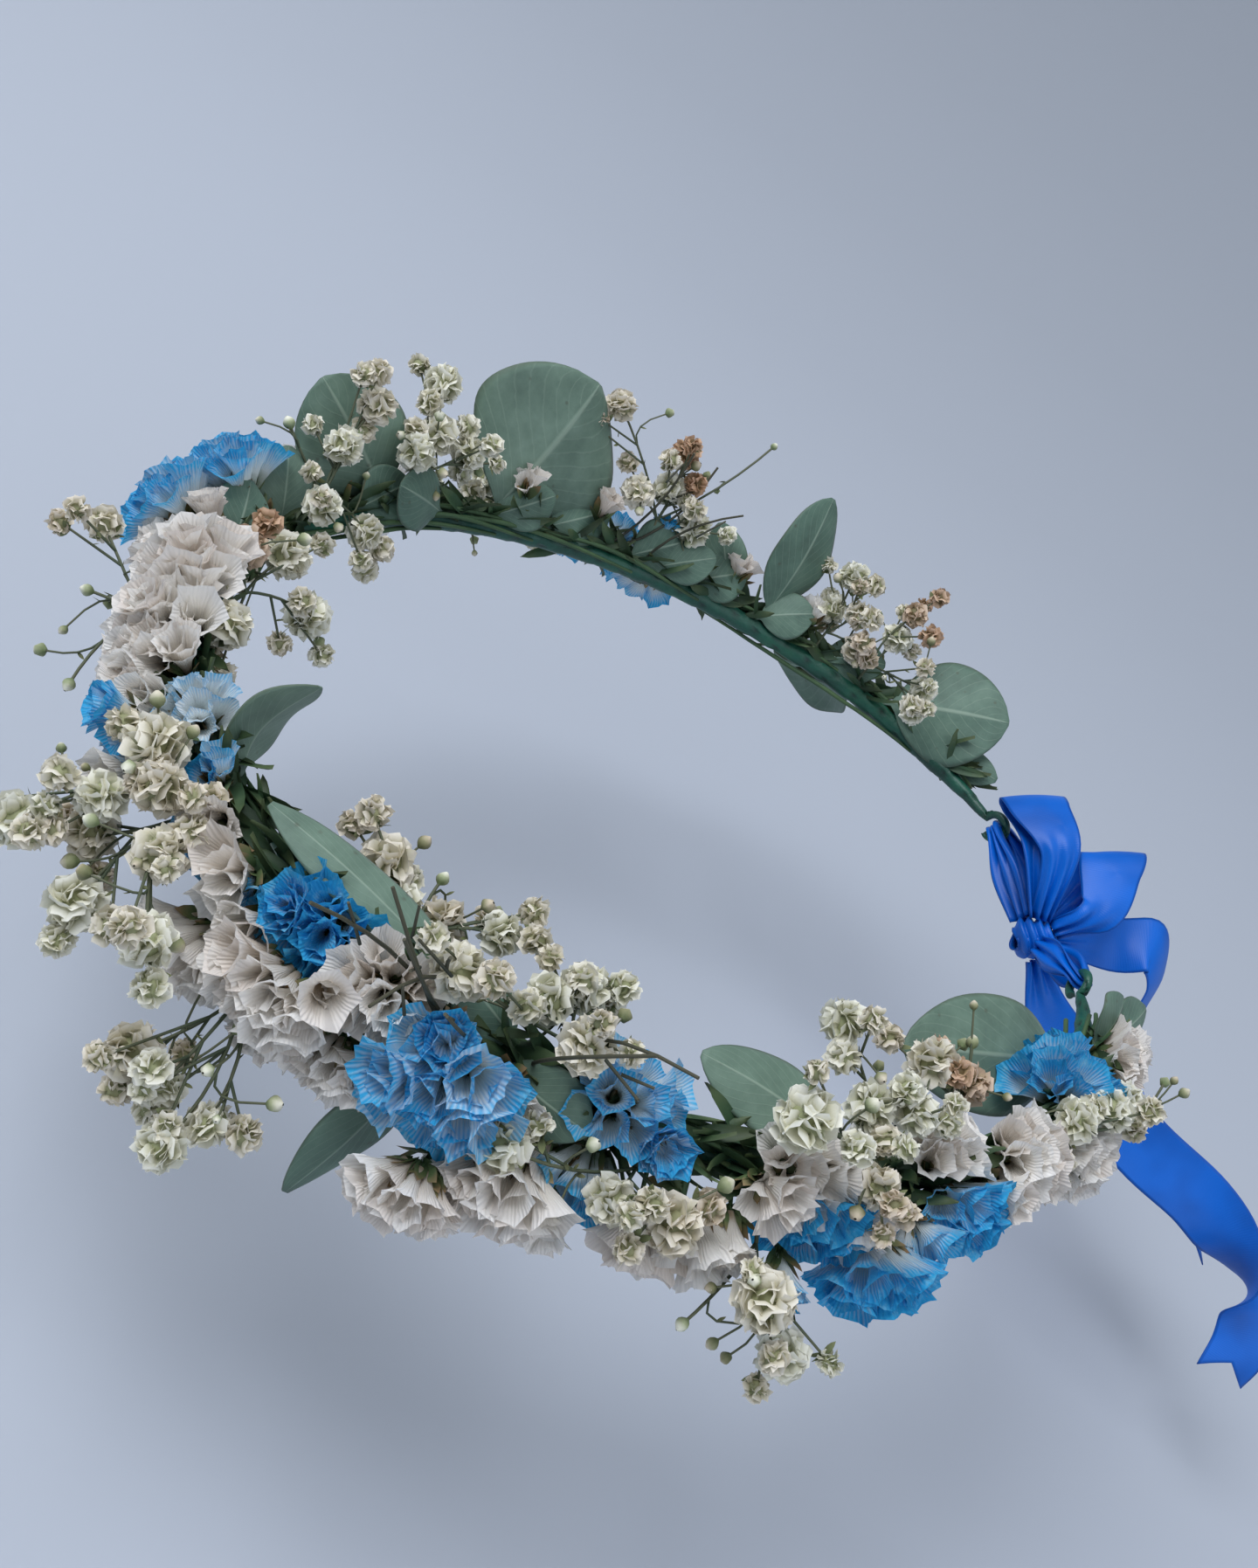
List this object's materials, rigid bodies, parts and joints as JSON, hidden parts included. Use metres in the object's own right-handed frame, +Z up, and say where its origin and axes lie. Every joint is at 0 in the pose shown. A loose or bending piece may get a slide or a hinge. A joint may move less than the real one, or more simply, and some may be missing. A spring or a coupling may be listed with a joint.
{
  "type": "floral crown",
  "caption": "Wire flower crown with dried white and blue statice, baby's breath and eucalyptus leaves, open at the back and tied with a blue satin bow.",
  "frame": {"origin": "middle of the wire band's oval, in the band's plane, where the crown sits on the head", "axes": "-Y is the front, +Y is the back with the bow, +X is the wearer's left, +Z is up through the head"},
  "size_m": [0.2136, 0.2965, 0.0938],
  "materials": {
    "floral_tape": "waxed crepe floral tape wound round wire",
    "eucalyptus_leaf": "matte preserved leaf with a pale midrib",
    "white_statice": "papery dried calyx, cream white with tan bracts",
    "blue_statice": "papery dried calyx, white at the throat and dyed blue at the rim",
    "babys_breath": "dense dried florets, cream with a green tint",
    "blue_satin": "royal blue satin ribbon"
  },
  "bodies": {
    "root": {"babys_breath_01": "babys_breath", "babys_breath_02": "babys_breath", "babys_breath_03": "babys_breath", "babys_breath_04": "babys_breath", "babys_breath_05": "babys_breath", "babys_breath_06": "babys_breath", "babys_breath_07": "babys_breath", "babys_breath_08": "babys_breath", "babys_breath_09": "babys_breath", "babys_breath_10": "babys_breath", "babys_breath_11": "babys_breath", "babys_breath_12": "babys_breath", "babys_breath_13": "babys_breath", "babys_breath_14": "babys_breath", "babys_breath_15": "babys_breath", "babys_breath_16": "babys_breath", "babys_breath_17": "babys_breath", "babys_breath_18": "babys_breath", "blue_statice_01": "blue_statice", "blue_statice_02": "blue_statice", "blue_statice_03": "blue_statice", "blue_statice_04": "blue_statice", "blue_statice_05": "blue_statice", "blue_statice_06": "blue_statice", "blue_statice_07": "blue_statice", "blue_statice_08": "blue_statice", "blue_statice_09": "blue_statice", "blue_statice_10": "blue_statice", "blue_statice_11": "blue_statice", "bow_knot": "blue_satin", "bow_loop_side": "blue_satin", "bow_loop_upper": "blue_satin", "eucalyptus_leaf_01": "eucalyptus_leaf", "eucalyptus_leaf_02": "eucalyptus_leaf", "eucalyptus_leaf_03": "eucalyptus_leaf", "eucalyptus_leaf_04": "eucalyptus_leaf", "eucalyptus_leaf_05": "eucalyptus_leaf", "eucalyptus_leaf_06": "eucalyptus_leaf", "eucalyptus_leaf_07": "eucalyptus_leaf", "eucalyptus_leaf_08": "eucalyptus_leaf", "eucalyptus_leaf_09": "eucalyptus_leaf", "eucalyptus_leaf_10": "eucalyptus_leaf", "eucalyptus_leaf_11": "eucalyptus_leaf", "eucalyptus_leaf_12": "eucalyptus_leaf", "eucalyptus_leaf_13": "eucalyptus_leaf", "ribbon_tail_long": "blue_satin", "ribbon_tail_short": "blue_satin", "ribbon_tie_far": "blue_satin", "ribbon_tie_near": "blue_satin", "white_statice_01": "white_statice", "white_statice_02": "white_statice", "white_statice_03": "white_statice", "white_statice_04": "white_statice", "white_statice_05": "white_statice", "white_statice_06": "white_statice", "white_statice_07": "white_statice", "white_statice_08": "white_statice", "white_statice_09": "white_statice", "white_statice_10": "white_statice", "wire_band": "floral_tape"}
  },
  "joints": []
}
